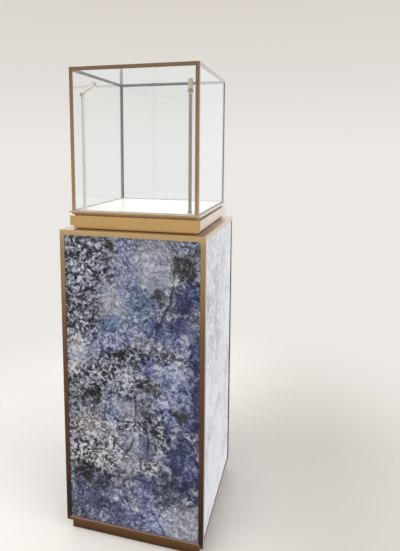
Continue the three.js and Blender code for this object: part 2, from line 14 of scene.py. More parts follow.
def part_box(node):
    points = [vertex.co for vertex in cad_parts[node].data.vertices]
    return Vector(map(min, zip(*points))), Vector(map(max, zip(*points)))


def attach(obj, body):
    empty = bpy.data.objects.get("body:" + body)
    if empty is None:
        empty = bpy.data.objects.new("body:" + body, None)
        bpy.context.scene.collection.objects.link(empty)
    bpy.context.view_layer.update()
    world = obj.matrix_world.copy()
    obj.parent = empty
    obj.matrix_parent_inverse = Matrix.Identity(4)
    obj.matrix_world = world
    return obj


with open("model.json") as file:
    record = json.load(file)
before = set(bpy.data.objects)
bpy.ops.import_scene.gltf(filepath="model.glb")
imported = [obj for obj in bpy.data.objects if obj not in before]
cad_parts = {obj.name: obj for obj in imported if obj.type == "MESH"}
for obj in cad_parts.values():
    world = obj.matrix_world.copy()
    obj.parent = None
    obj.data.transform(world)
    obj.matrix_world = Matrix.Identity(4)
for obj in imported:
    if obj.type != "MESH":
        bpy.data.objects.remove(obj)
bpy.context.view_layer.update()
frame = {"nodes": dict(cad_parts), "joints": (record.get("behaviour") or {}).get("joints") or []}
NODES = frame["nodes"]
HOOD_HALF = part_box("hood_rail_front")[1][0]  # half the width of the hood
HOOD_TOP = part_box("hood_rail_front")[1][2]
TRIM_SKIN = 0.0003  # how deep the hood trims' own colour goes round their edges

# ---------------------------------------------------------------- the photograph's camera
FRAME_SIZE = (400, 551)  # pixels
EYE = Vector((0.50497, -1.50807, 1.22788))
YAW, PITCH, ROLL = (math.radians(angle) for angle in (15.566, 7.080, 0.1725))
FOCAL = 483.32  # pixels
OPTICAL_CENTRE = (179.08, 208.69)  # pixels, from the picture's top left corner
SENSOR = 36.0  # millimetres


def add_camera():
    longest = max(FRAME_SIZE)
    data = bpy.data.cameras.new("camera")
    data.sensor_fit = "AUTO"
    data.sensor_width = SENSOR
    data.lens = FOCAL / longest * SENSOR
    data.shift_x = (FRAME_SIZE[0] / 2 - OPTICAL_CENTRE[0]) / longest
    data.shift_y = (OPTICAL_CENTRE[1] - FRAME_SIZE[1] / 2) / longest
    camera = bpy.data.objects.new("camera", data)
    bpy.context.scene.collection.objects.link(camera)
    level = Vector((-math.sin(YAW), math.cos(YAW), 0))
    across = Vector((math.cos(YAW), math.sin(YAW), 0))
    rise = Vector((0, 0, 1))
    ahead = level * math.cos(PITCH) - rise * math.sin(PITCH)
    above = level * math.sin(PITCH) + rise * math.cos(PITCH)
    right = across * math.cos(ROLL) + above * math.sin(ROLL)
    up = above * math.cos(ROLL) - across * math.sin(ROLL)
    turn = Matrix((right, up, -ahead)).transposed()
    camera.matrix_world = Matrix.Translation(EYE) @ turn.to_4x4()
    bpy.context.scene.camera = camera


# ---------------------------------------------------------------- shader maths
def tone(red, green, blue):
    """A colour as a screen shows it, 0 to 255, as linear light, by the sRGB curve."""
    def linear(level):
        share = level / 255
        return share / 12.92 if share <= 0.04045 else ((share + 0.055) / 1.055) ** 2.4
    return (linear(red), linear(green), linear(blue), 1.0)


def dimmed(colour, share):
    """A colour with only a share of its light."""
    return tuple(level * share for level in colour[:3]) + (1.0,)


class Value:
    """A number or vector at every point of a surface. Arithmetic on it adds nodes."""

    def __init__(self, room, socket):
        self.room = room
        self.socket = socket

    def _math(self, operation, *terms):
        return self.room.node("Math", terms, operation=operation)

    def _vector(self, operation, *others, out="Vector"):
        return self.room.node("VectorMath", (self, *others), out=out, operation=operation)

    def __add__(self, other):
        return self._math("ADD", self, other)

    def __sub__(self, other):
        return self._math("SUBTRACT", self, other)

    def __rsub__(self, other):
        return self._math("SUBTRACT", other, self)

    def __mul__(self, other):
        return self._math("MULTIPLY", self, other)

    def __truediv__(self, other):
        return self._math("DIVIDE", self, other)

    __radd__ = __add__
    __rmul__ = __mul__

    def size(self):
        return self._math("ABSOLUTE", self)

    def over(self, other):
        return self._math("GREATER_THAN", self, other)

    def most(self, other):
        return self._math("MAXIMUM", self, other)

    def least(self, other):
        return self._math("MINIMUM", self, other)

    def rise(self, low, high):
        """0 below low and 1 above high, with a smooth way between; low may be the higher."""
        return self.room.node(
            "MapRange",
            {"Value": self, "From Min": low, "From Max": high},
            interpolation_type="SMOOTHSTEP",
        )

    def scaled(self, *factors):
        return self._vector("MULTIPLY", factors)

    def moved(self, *offsets):
        return self._vector("ADD", offsets)

    def plus(self, other):
        return self._vector("ADD", other)

    def times(self, other):
        return self._vector("MULTIPLY", other)

    def length(self):
        return self._vector("LENGTH", out="Value")


class Room:
    """A tree of shader nodes in the making."""

    def __init__(self, tree):
        self.tree = tree

    def feed(self, socket, value):
        if isinstance(value, Value):
            self.tree.links.new(value.socket, socket)
        else:
            socket.default_value = value

    def node(self, kind, inputs=(), out=0, stops=None, **settings):
        """Adds a node: its settings and a ramp's stops first, then its sockets."""
        node = self.tree.nodes.new("ShaderNode" + kind)
        for name, setting in settings.items():
            setattr(node, name, setting)
        if stops:
            ramp = node.color_ramp.elements
            while len(ramp) < len(stops):
                ramp.new(1.0)
            for element, (position, colour) in zip(ramp, stops):
                element.position = position
                element.color = colour
        pairs = inputs.items() if isinstance(inputs, dict) else enumerate(inputs)
        for key, value in pairs:
            self.feed(node.inputs[key], value)
        return Value(self, node.outputs[out])

    def place(self):
        return self.node("TexCoord", out="Object")

    def split(self, vector):
        parts = self.node("SeparateXYZ", [vector]).socket.node
        return [Value(self, parts.outputs[axis]) for axis in range(3)]

    def join(self, x, y, z):
        return self.node("CombineXYZ", [x, y, z])

    def noise(self, vector, scale, detail, rough, twist=0.0, out="Fac"):
        sockets = {
            "Vector": vector,
            "Scale": scale,
            "Detail": detail,
            "Roughness": rough,
            "Distortion": twist,
        }
        return self.node("TexNoise", sockets, out=out)

    # The Mix node's sockets for colours and for vectors share their names, so they go by number.
    def mix(self, share, first, second):
        """A colour between two colours."""
        return self.node("Mix", {0: share, 6: first, 7: second}, out=2, data_type="RGBA")

    def bend(self, share, first, second):
        """A vector between two vectors."""
        return self.node("Mix", {0: share, 4: first, 5: second}, out=1, data_type="VECTOR")

    def ramp(self, value, stops):
        return self.node("ValToRGB", [value], stops=stops)


class Finish(Room):
    """A material in the making, round its Principled shader."""

    def __init__(self, name, **constants):
        self.material = bpy.data.materials.new(name)
        self.material.use_nodes = True
        super().__init__(self.material.node_tree)
        self.shader = self.tree.nodes["Principled BSDF"]
        for socket, value in constants.items():
            self.set(socket.replace("_", " "), value)

    def set(self, socket, value):
        self.feed(self.shader.inputs[socket], value)

    def output(self, shader):
        self.feed(self.tree.nodes["Material Output"].inputs["Surface"], shader)

    def bump(self, height, depth, strength):
        sockets = {"Height": height, "Distance": depth, "Strength": strength}
        self.set("Normal", self.node("Bump", sockets))


# ---------------------------------------------------------------- stone
# Patches of the front panel: x, z, half width, half height in metres, and turn in degrees.
PATCHES = {
    "crackled": [
        (-0.150, 0.905, 0.068, 0.062, 0),
        (-0.168, 0.765, 0.056, 0.105, 0),
        (-0.012, 0.610, 0.058, 0.030, 10),
        (-0.095, 0.552, 0.066, 0.052, 15),
        (-0.020, 0.530, 0.050, 0.040, 0),
        (-0.130, 0.280, 0.086, 0.054, 0),
        (-0.190, 0.380, 0.026, 0.050, 0),
        (0.010, 0.395, 0.078, 0.022, 0),
        (0.095, 0.395, 0.030, 0.050, 0),
        (0.040, 0.262, 0.030, 0.020, 0),
        (0.150, 0.610, 0.040, 0.030, 0),
        (-0.200, 0.520, 0.030, 0.060, 0),
    ],
    "navy": [
        (0.172, 0.800, 0.040, 0.042, 0),
        (0.200, 0.640, 0.022, 0.060, 0),
        (0.165, 0.300, 0.044, 0.092, 14),
        (0.205, 0.470, 0.016, 0.080, 0),
        (0.150, 0.725, 0.030, 0.026, 0),
    ],
    "peppered": [
        (-0.135, 0.118, 0.090, 0.066, 0),
        (-0.030, 0.080, 0.070, 0.040, 0),
        (0.125, 0.205, 0.050, 0.044, 0),
        (0.040, 0.300, 0.018, 0.060, 0),
        (-0.130, 0.200, 0.060, 0.036, 0),
        (0.190, 0.560, 0.026, 0.040, 0),
    ],
    "steel": [
        (0.028, 0.768, 0.046, 0.056, -10),
        (-0.062, 0.706, 0.034, 0.026, 0),
    ],
    "blue": [
        (0.110, 0.700, 0.070, 0.040, 0),
        (0.062, 0.580, 0.030, 0.030, 0),
        (0.160, 0.440, 0.060, 0.040, 0),
        (0.046, 0.180, 0.030, 0.056, 10),
    ],
    "lavender": [
        (-0.030, 0.950, 0.020, 0.030, 0),
        (-0.018, 0.892, 0.032, 0.072, 0),
        (-0.062, 0.664, 0.076, 0.048, 10),
        (-0.066, 0.430, 0.026, 0.044, 0),
        (0.140, 0.540, 0.062, 0.066, 0),
        (0.112, 0.466, 0.034, 0.040, 0),
        (0.045, 0.092, 0.060, 0.034, 0),
        (0.170, 0.650, 0.044, 0.034, 0),
    ],
    "pale": [
        (0.072, 0.886, 0.054, 0.076, 0),
        (-0.058, 0.774, 0.046, 0.046, 0),
        (0.162, 0.096, 0.050, 0.052, 0),
        (0.018, 0.334, 0.030, 0.052, 0),
        (-0.012, 0.430, 0.028, 0.028, 0),
        (-0.020, 0.268, 0.030, 0.026, 0),
        (0.174, 0.706, 0.028, 0.024, 0),
        (0.150, 0.590, 0.030, 0.030, 0),
        (0.131, 0.396, 0.024, 0.022, 0),
        (-0.010, 0.550, 0.022, 0.028, 0),
        (-0.180, 0.596, 0.034, 0.034, 0),
    ],
    "cream": [
        (-0.168, 0.640, 0.030, 0.026, 0),
        (-0.190, 0.556, 0.024, 0.020, 0),
        (-0.140, 0.372, 0.056, 0.038, 0),
        (-0.128, 0.276, 0.074, 0.040, 0),
        (0.143, 0.852, 0.020, 0.009, 25),
        (0.050, 0.267, 0.028, 0.016, 0),
        (-0.060, 0.330, 0.020, 0.040, 0),
    ],
    "mossy": [
        (0.165, 0.896, 0.034, 0.030, 20),
        (0.094, 0.806, 0.018, 0.014, 0),
        (0.062, 0.524, 0.034, 0.018, 0),
        (-0.128, 0.468, 0.026, 0.026, 0),
        (0.156, 0.448, 0.022, 0.020, 0),
        (-0.150, 0.222, 0.026, 0.030, -20),
        (-0.030, 0.612, 0.022, 0.012, 0),
        (-0.068, 0.945, 0.012, 0.012, 0),
    ],
}
# Dark cracks of the front panel, in the same terms.
CRACKS = [
    (0.105, 0.758, 0.0045, 0.085, -21),
    (-0.086, 0.425, 0.0022, 0.036, -12),
    (-0.020, 0.402, 0.0022, 0.055, 84),
    (0.012, 0.465, 0.0022, 0.052, 3),
    (-0.008, 0.325, 0.0034, 0.034, -25),
    (0.050, 0.350, 0.0040, 0.030, 2),
    (0.098, 0.070, 0.0018, 0.045, 24),
]

# How each mineral looks, from its darkest grains to its lightest.
GREY_GRAINS = [
    (0.0, (23, 24, 30)),
    (0.3, (63, 65, 75)),
    (0.6, (118, 120, 132)),
    (1.0, (196, 199, 208)),
]
BLUE_GRAINS = [
    (0.0, (30, 33, 57)),
    (0.3, (60, 65, 99)),
    (0.6, (107, 113, 145)),
    (1.0, (177, 183, 206)),
]
STEEL_GRAINS = [
    (0.0, (24, 32, 50)),
    (0.3, (56, 74, 104)),
    (0.6, (98, 118, 148)),
    (1.0, (172, 188, 208)),
]
WARM_GRAINS = [
    (0.0, (34, 31, 33)),
    (0.3, (76, 72, 74)),
    (0.6, (138, 134, 137)),
    (1.0, (204, 201, 201)),
]
MOSS_GRAINS = [
    (0.0, (22, 23, 25)),
    (0.4, (54, 55, 55)),
    (0.7, (98, 98, 96)),
    (1.0, (152, 151, 144)),
]
SEAM_TONE = tone(50, 52, 62)
CRACK_TONE = tone(40, 42, 50)
PLAIN_LEVEL = 0.545  # place of the plain stone's middle grains on the ramps above

# Sizes of the stone's marks, in cells of noise to the metre.
CHANCE_SCALE = 5.5  # patches that fall by chance
CLOUD_SCALE = 9
SWIRL_SCALE = 16
WISP_SCALE = 30
SEAM_SCALE = 30.0
TUFT_SCALE = 62
GRAIN_SCALE = 92
FACET_SCALE = 115.0
SPECK_SCALE = 260

SWIRL_REACH = 0.030  # metres by which the swirls push the marks about
FACET_REACH = 0.006  # how much further they push the facets of the crystals
PATCH_EDGE = (1.6, 0.6)  # where a patch starts and where it is full, in its half sizes
CRACK_EDGE = (1.3, 0.7)
STONE_ROUGHNESS = 0.09
COAT_ROUGHNESS = 0.02


def stone(name, across, cut, placed=False, painted_lift=0.0, gloss=0.5, coat=0.0):
    """Polished blue stone, seen square on a panel.

    across is the axis, 0 or 1, that runs across the panel, and cut picks the slice of the
    block. The front panel has its patches placed; elsewhere they fall by chance. painted_lift
    raises all grains towards the light ones, painted light for the bright reflection on a side
    panel; gloss is how much the stone itself mirrors, and coat is the weight of the polish on top.
    """
    finish = Finish(name, Roughness=STONE_ROUGHNESS, Specular_IOR_Level=gloss)
    finish.set("Coat Roughness", COAT_ROUGHNESS)
    parts = finish.split(finish.place())
    flat = finish.join(parts[across], parts[2], 0.0)
    block = flat.moved(0.0, 0.0, cut)
    swirl = finish.noise(block, SWIRL_SCALE, 3, 0.55, out="Color").moved(-0.5, -0.5, -0.5)
    drift = block.plus(swirl.scaled(SWIRL_REACH, SWIRL_REACH, SWIRL_REACH))
    cloud = finish.noise(drift, CLOUD_SCALE, 4, 0.6)
    wisp = finish.noise(drift, WISP_SCALE, 5, 0.65, 0.4)
    grains = finish.noise(drift, GRAIN_SCALE, 6, 0.68, 0.7)
    specks = finish.noise(drift, SPECK_SCALE, 3, 0.6)
    tufts = finish.noise(drift, TUFT_SCALE, 6, 0.66, 0.8)
    ragged = (wisp - 0.5) * 2.6 + (tufts - 0.5) * 1.8

    def off_centre(patches, place):
        """How far a place is from the middle of the nearest patch, in its half sizes."""
        nearest = None
        for x, z, half_width, half_height, turn in patches:
            sockets = {
                "Vector": place,
                "Location": (x, z, 0),
                "Rotation": (0, 0, math.radians(turn)),
                "Scale": (half_width, half_height, 1),
            }
            distance = finish.node("Mapping", sockets, vector_type="TEXTURE").length()
            nearest = distance if nearest is None else nearest.least(distance)
        return nearest

    def zone(kind, chance, low, high, tatter=1.0):
        """1 in a mineral's patches: the placed ones, or those where a noise passes low to high."""
        if placed:
            return (off_centre(PATCHES[kind], flat) + ragged * tatter).rise(*PATCH_EDGE)
        fall = finish.noise(block.moved(0, 0, chance), CHANCE_SCALE, 4, 0.55, 0.3)
        return fall.rise(low, high)

    crackled = zone("crackled", 3.1, 0.50, 0.60)
    peppered = zone("peppered", 4.6, 0.57, 0.64)
    navy = zone("navy", 5.7, 0.56, 0.64)
    blue = zone("blue", 6.4, 0.56, 0.64)
    steel = zone("steel", 15.1, 0.58, 0.66)
    lavender = zone("lavender", 7.9, 0.52, 0.60)
    pale = zone("pale", 9.3, 0.55, 0.62)
    cream = zone("cream", 11.9, 0.61, 0.67, 1.6) * 0.7
    mossy = zone("mossy", 13.3, 0.63, 0.68, 1.9) * 0.85

    shaken = drift.plus(swirl.scaled(FACET_REACH, FACET_REACH, 0.0))
    facet = {"Vector": shaken, "Scale": FACET_SCALE}
    hues = finish.split(finish.node("TexVoronoi", facet, out="Color"))
    rims = finish.node("TexVoronoi", facet, out="Distance", feature="DISTANCE_TO_EDGE")
    crystals = (hues[0] - 0.5) * 0.40 - rims.rise(0.16, 0.02) * tufts.rise(0.62, 0.46) * 0.34

    # How light each grain is: its own texture first, then what its patch adds or takes.
    soft = (grains - 0.5) * 1.3 + (wisp - 0.5) * 1.1 + (cloud - 0.5) * 0.5
    flaked = (tufts * 0.60 + grains * 0.40).rise(0.45, 0.55) - 0.5
    sharp = 0.22 + crackled * 0.30 + cream * 0.20 - pale * 0.12 - navy * 0.12 - peppered * 0.1
    # the side panels' lift is painted light, for the bright reflection on their polish
    level = PLAIN_LEVEL + painted_lift + soft * (1.0 - pale * 0.30) + flaked * sharp.most(0.0)
    level = level + pale * 0.18 + cream * 0.27 + lavender * 0.11 - blue.most(steel) * 0.05
    level = level - crackled * 0.03 - navy * 0.31 - mossy * 0.17 - peppered * 0.20
    level = level + (specks - 0.5) * (0.60 + peppered * 0.7)
    level = level + crystals * (0.25 + crackled * 0.75) * (1.0 - pale * 0.6)

    def look(stops):
        return finish.ramp(level, [(place, tone(*shade)) for place, shade in stops])

    bluish = cloud.rise(0.40, 0.62) * 0.35 + lavender * 0.7 + peppered * 0.3 - crackled * 0.2
    bluish = navy.most(blue).most(bluish if placed else bluish + 0.35)
    colour = finish.mix(bluish, look(GREY_GRAINS), look(BLUE_GRAINS))
    colour = finish.mix(steel * 0.65, colour, look(STEEL_GRAINS))
    colour = finish.mix(cream, colour, look(WARM_GRAINS))
    colour = finish.mix(mossy, colour, look(MOSS_GRAINS))

    net = {"Vector": drift, "Scale": SEAM_SCALE}
    cells = finish.node("TexVoronoi", net, out="Distance", feature="DISTANCE_TO_EDGE")
    seams = (cells + (grains - 0.5) * 0.22).rise(0.06, 0.00) * wisp.rise(0.48, 0.60)
    colour = finish.mix(seams * (1.0 - pale) * 0.55, colour, SEAM_TONE)
    if placed:
        cracks = off_centre(CRACKS, drift.moved(0.0, 0.0, -cut)).rise(*CRACK_EDGE)
        colour = finish.mix(cracks * 0.8, colour, CRACK_TONE)
    finish.set("Base Color", colour)
    if coat:  # the dark, pitted grains take less polish
        finish.set("Coat Weight", coat * (1.0 - level.rise(0.75, 0.35) * 0.42))
    return finish.material


# ---------------------------------------------------------------- metal
PEDESTAL_COLOUR_AND_SHADE = [  # height in metres, colour of the metal there, with painted shade: darker low, lighter up high
    (0.002, (70, 49, 29)),
    (0.036, (108, 76, 46)),
    (0.050, (58, 41, 33)),
    (0.100, (57, 40, 32)),
    (0.310, (86, 60, 46)),
    (0.600, (103, 74, 54)),
    (0.680, (109, 79, 50)),
    (0.750, (124, 92, 58)),
    (0.820, (138, 107, 66)),
    (0.900, (150, 119, 72)),
    (0.960, (164, 134, 86)),
    (0.978, (186, 153, 101)),
    (0.986, (190, 158, 107)),
]
PAN_COLOUR_AND_HIGHLIGHT = [  # the lip under the stone, lighter at its top edge as a painted highlight
    (0.0360, (98, 68, 43)),
    (0.0440, (102, 74, 52)),
    (0.0470, (142, 117, 104)),
]
# The neck, band and flange by height, with painted light and shade and a painted highlight.
NECK_COLOUR_AND_SHADE = [
    (0.9860, (88, 60, 26)),  # painted shade, darker at the foot of each groove
    # the lower neck, lifted lighter as painted light where the band shades it
    (0.9895, (174, 137, 82)),
    (0.9970, (190, 149, 94)),
    (0.9975, (190, 150, 86)),
    (1.0272, (190, 150, 86)),
    # painted shade at the foot of the upper groove
    (1.0276, (72, 48, 22)),
    (1.0305, (128, 94, 50)),
    (1.0355, (156, 120, 70)),
    (1.0362, (182, 147, 98)),
    (1.0385, (168, 132, 82)),
    # painted highlight along the flange's top edge
    (1.0410, (198, 175, 138)),
]
# The hood's trims by height, with painted shade: lighter low, darker towards the top.
HOOD_COLOUR_AND_SHADE = [
    (1.04, (163, 134, 90)),
    (1.12, (150, 121, 79)),
    (1.30, (136, 109, 68)),
    (1.46, (116, 89, 56)),
]
SEALANT = tone(84, 86, 80)  # on the inner faces of the hood's posts, behind the glass
WARM_SEALANT = tone(100, 93, 86)  # the same, on its rails
BRUSHED_ROUGHNESS = 0.20
CAP_ROUGHNESS = 0.40

# Sizes of the brushed grain, in cells of noise to the metre.
ALONG_GRAIN = 5.0
STREAKS_ACROSS = 190.0
HAIRS_ACROSS = 1400.0
METAL_CLOUDS = 9
BRUSHED_DEPTH = 0.00004
LACQUER = (0.45, 0.95)  # metres up, where the lacquer's gloss starts and where it is full
LACQUER_ROUGHNESS = 0.12


def brushed(name, tones, upright=False, backing=None, roughness=BRUSHED_ROUGHNESS):
    """Brushed and lacquered steel, with the lacquer worn thin low on the pedestal.
    Its colour comes by height from tones that hold painted shade and highlights.

    The grain of an upright piece runs along Z, and any other runs round the square with a
    mitre at each corner, as the frames are made. With a backing, the sides of a hood trim
    that are turned to the glass have that colour.
    """
    finish = Finish(name, Metallic=1.0, Coat_Roughness=LACQUER_ROUGHNESS)
    spot = finish.place()
    x, y, z = finish.split(spot)
    finish.set("Coat Weight", z.rise(*LACQUER))

    def stretched(across):
        if upright:
            return spot.scaled(across, across, ALONG_GRAIN)
        sideways = x.size().over(y.size())
        along_x = (ALONG_GRAIN, across, across)
        along_y = (across, ALONG_GRAIN, across)
        return spot.times(finish.bend(sideways, along_x, along_y))

    streaks = finish.noise(stretched(STREAKS_ACROSS), 1.0, 3, 0.6)
    hairs = finish.noise(stretched(HAIRS_ACROSS), 1.0, 2, 0.5)
    clouds = finish.noise(spot, METAL_CLOUDS, 3, 0.5)
    brightness = 0.99 + (streaks - 0.5) * 0.26 - hairs.rise(0.55, 0.30) * 0.08
    brightness = brightness - clouds.rise(0.45, 0.70) * 0.06
    low, high = tones[0][0], tones[-1][0]
    stops = [((height - low) / (high - low), tone(*shade)) for height, shade in tones]
    # the ramp by height holds painted shade and highlights along with the metal's own tone
    shade = finish.ramp((z - low) / (high - low), stops).times(brightness)
    finish.set("Roughness", roughness + (streaks - 0.5) * 0.14 + (clouds - 0.5) * 0.08)
    if backing:
        top = HOOD_TOP - TRIM_SKIN
        outside = x.size().most(y.size()).over(HOOD_HALF - TRIM_SKIN).most(z.over(top))
        shade = finish.mix(outside, backing, shade)
        finish.set("Metallic", outside)
    finish.set("Base Color", shade)
    finish.bump(hairs + streaks * 0.5, BRUSHED_DEPTH, 0.6)
    return finish.material


SATIN_ROUGHNESS = 0.34
MIRROR_ROUGHNESS = 0.08
BLAST_SCALE = 2600  # cells to the metre
SATIN_CLOUDS = 60
BLAST_DEPTH = 0.00002


def satin(name, colour, roughness=SATIN_ROUGHNESS):
    """Fine-grained metal: the lamps' turned pieces, zinc plate and the reflectors."""
    finish = Finish(name, Metallic=0.9)
    spot = finish.place()
    blast = finish.noise(spot, BLAST_SCALE, 2, 0.6)
    clouds = finish.noise(spot, SATIN_CLOUDS, 3, 0.5)
    lighter = tuple(level + (1.0 - level) * 0.25 for level in colour[:3]) + (1.0,)
    lifted = finish.mix(clouds.rise(0.35, 0.7) * 0.25, colour, lighter)
    pitted = finish.mix(blast.rise(0.55, 0.3) * 0.2, lifted, dimmed(colour, 0.7))
    finish.set("Base Color", pitted)
    finish.set("Roughness", roughness + (blast - 0.5) * 0.12)
    finish.bump(blast, BLAST_DEPTH, 0.5)
    return finish.material


# ---------------------------------------------------------------- glass, mouldings and board
GLASS_TINT = (0.975, 0.992, 1.0, 1.0)
GLASS_SHADOW = (0.97, 0.98, 0.98, 1.0)
SMEAR_ROUGHNESS = 0.012
SMEAR_SCALE = 22  # cells to the metre, as all the scales here
SKIN_SCALE = 900
SKIN_CLOUDS = 14
SKIN_DEPTH = 0.00003
FIBRE_SCALE = 420
CLUMP_SCALE = 55
FIBRE_DEPTH = 0.00025
BOARD_ROUGHNESS = 0.78


def clear_glass(name):
    """Ultra-clear glass that lets light through, with faint smears on its faces."""
    finish = Finish(name, Base_Color=GLASS_TINT, Transmission_Weight=1.0, IOR=1.5)
    smear = finish.noise(finish.place().scaled(1.0, 1.0, 0.35), SMEAR_SCALE, 4, 0.6)
    finish.set("Roughness", smear.rise(0.55, 0.85) * SMEAR_ROUGHNESS)
    clear = finish.node("BsdfTransparent", [GLASS_SHADOW])
    shadow = finish.node("LightPath", out="Is Shadow Ray")
    shaded = Value(finish, finish.shader.outputs[0])
    finish.output(finish.node("MixShader", [shadow, shaded, clear]))
    return finish.material


def moulded(name, colour, roughness, mottle, **constants):
    """Moulded or painted stuff with a fine skin, darker in places by the share mottle."""
    finish = Finish(name, **constants)
    spot = finish.place()
    skin = finish.noise(spot, SKIN_SCALE, 3, 0.6)
    clouds = finish.noise(spot, SKIN_CLOUDS, 3, 0.5)
    mottled = (skin * 0.6 + clouds * 0.4).rise(0.3, 0.75) * mottle
    finish.set("Base Color", finish.mix(mottled, colour, dimmed(colour, 0.72)))
    finish.set("Roughness", roughness + (skin - 0.5) * 0.15)
    finish.bump(skin, SKIN_DEPTH, 0.6)
    return finish.material


def fibreboard(name, light, dark):
    """Board pressed of fine fibres, between a light and a dark tone."""
    finish = Finish(name, Roughness=BOARD_ROUGHNESS)
    spot = finish.place()
    fibres = finish.noise(spot.scaled(1.0, 1.0, 2.2), FIBRE_SCALE, 5, 0.75)
    clumps = finish.noise(spot, CLUMP_SCALE, 4, 0.6)
    shade = (fibres * 0.65 + clumps * 0.35).rise(0.35, 0.65)
    finish.set("Base Color", finish.mix(shade, light, dark))
    finish.bump(fibres, FIBRE_DEPTH, 0.5)
    return finish.material


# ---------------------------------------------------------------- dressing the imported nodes
CORNERS = ("front_left", "front_right", "back_right", "back_left")
CORNER_SIGNS = ((-1, -1), (1, -1), (1, 1), (-1, 1))  # of x and y at each corner
SIDES = ("front", "right", "back", "left")
POSTS = [f"corner_post_{corner}" for corner in CORNERS]
FEET = [f"levelling_foot_{corner}" for corner in CORNERS]
HOOD_POSTS = [f"hood_post_{corner}" for corner in CORNERS]
RAILS = [f"hood_rail_{side}" for side in SIDES]
PANES = [f"glass_{side}" for side in SIDES] + ["glass_top"]
WALL_BOARDS = [f"wall_board_{side}" for side in SIDES]
ZINC = satin("bright_zinc", tone(168, 170, 172))  # feet, nuts and screws

HOOD_EDGE = 0.0003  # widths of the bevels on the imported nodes' edges
PEDESTAL_EDGE = 0.0004
NECK_EDGE = 0.0005
PANE_EDGE = 0.0005
EDGE_SEGMENTS = 2
EDGE_ANGLE = math.radians(40)  # the least turn that counts as an edge
FLAT_ANGLE = math.radians(0.5)  # the largest turn between faces of one flat
WELD_REACH = 0.00001


def dress(material, *names):
    for name in names:
        piece = NODES[name]
        piece.data.materials.clear()
        piece.data.materials.append(material)


def ease(width, *names):
    """Takes the sharpness off the nodes' edges."""
    for name in names:
        piece = NODES[name]
        weld = piece.modifiers.new("weld", "WELD")
        weld.merge_threshold = WELD_REACH
        flat = piece.modifiers.new("flatten", "DECIMATE")
        flat.decimate_type = "DISSOLVE"
        flat.angle_limit = FLAT_ANGLE
        edge = piece.modifiers.new("edge", "BEVEL")
        edge.width = width
        edge.segments = EDGE_SEGMENTS
        edge.limit_method = "ANGLE"
        edge.angle_limit = EDGE_ANGLE
        edge.harden_normals = False


def dress_all():
    dress(stone("blue_stone_front", 0, 0.37, placed=True, gloss=0.15), "stone_front")
    # The side panels are lifted lighter as painted light, for the bright reflection on their
    # polish.
    dress(stone("blue_stone_right", 1, 1.91, painted_lift=0.27, coat=1.0), "stone_right")
    dress(stone("blue_stone_back", 0, 4.43, coat=1.0), "stone_back")
    dress(stone("blue_stone_left", 1, 7.17, painted_lift=0.06, coat=1.0), "stone_left")
    # The pedestal's metal takes painted shade from its ramp by height: darker low, lighter high.
    dress(brushed("brushed_post", PEDESTAL_COLOUR_AND_SHADE, upright=True), *POSTS)
    dress(brushed("brushed_plinth", PEDESTAL_COLOUR_AND_SHADE), "plinth_skin")
    dress(brushed("brushed_cap", PEDESTAL_COLOUR_AND_SHADE, roughness=CAP_ROUGHNESS), "top_cap")
    dress(brushed("brushed_pan", PAN_COLOUR_AND_HIGHLIGHT), "bottom_pan")
    neck = brushed("brushed_neck", NECK_COLOUR_AND_SHADE)
    dress(neck, "lower_neck", "band_shell", "upper_neck", "hood_flange")
    dress(brushed("brushed_hood_rail", HOOD_COLOUR_AND_SHADE, backing=WARM_SEALANT), *RAILS)
    hood_post = brushed("brushed_hood_post", HOOD_COLOUR_AND_SHADE, upright=True, backing=SEALANT)
    dress(hood_post, *HOOD_POSTS)
    dress(clear_glass("ultra_clear_glass"), *PANES)
    # painted light: the white deck glows faintly, though it is no lamp
    painted_glow = {"Emission_Color": tone(255, 252, 246), "Emission_Strength": 0.14}
    dress(moulded("opal_acrylic", tone(252, 251, 250), 0.30, 0.03, **painted_glow), "deck_board")
    dress(moulded("clear_silicone", tone(178, 180, 180), 0.4, 0.1), "glass_seal")
    dress(moulded("black_rubber", tone(34, 34, 35), 0.75, 0.2), "cable_grommet")
    dress(moulded("driver_moulding", tone(226, 226, 221), 0.45, 0.08), "led_driver")
    raw = fibreboard("raw_fibreboard", tone(190, 164, 124), tone(150, 122, 86))
    dress(raw, "base_board", "top_board", *WALL_BOARDS)
    sealed = fibreboard("sealed_board", tone(86, 68, 52), tone(58, 44, 33))
    dress(sealed, "plinth_frame", "band_core")
    dress(ZINC, *FEET)
    # The two lamps are alike; their metals differ by side as painted light and shade, the left lamp
    # lit paler and the right one shaded darker.
    for side, shade, head, rim in (
        ("left", tone(230, 227, 220), tone(222, 219, 208), tone(158, 155, 147)),
        ("right", tone(154, 143, 132), tone(204, 196, 180), tone(88, 84, 78)),
    ):
        metal = satin(f"satin_steel_{side}", shade)
        dress(metal, *[f"lamp_{side}_{piece}" for piece in ("foot", "pole", "yoke")])
        dress(satin(f"satin_nickel_{side}", head), f"lamp_{side}_head")
        black = moulded(f"black_fitting_{side}", tone(38, 37, 36), 0.42, 0.15, Metallic=0.3)
        dress(black, f"lamp_{side}_pivot")
        dress(satin(f"dark_nickel_{side}", rim), f"lamp_{side}_bezel")
        clear = tone(250, 250, 244)
        lens = moulded(f"lamp_lens_{side}", clear, 0.06, 0.05, Transmission_Weight=0.92)
        dress(lens, f"lamp_{side}_lens")

    ease(PEDESTAL_EDGE, *POSTS, "bottom_pan", "top_cap", "plinth_skin")
    ease(NECK_EDGE, "lower_neck", "upper_neck", "band_shell", "hood_flange", "deck_board")
    ease(HOOD_EDGE, *HOOD_POSTS, *RAILS)
    ease(PANE_EDGE, *PANES)


# ---------------------------------------------------------------- pieces of the scene's own
ROUND_STEPS = 48
SMOOTH_ANGLE = math.radians(32)  # faces that turn by less are shaded as one
MERGE_REACH = 1e-7


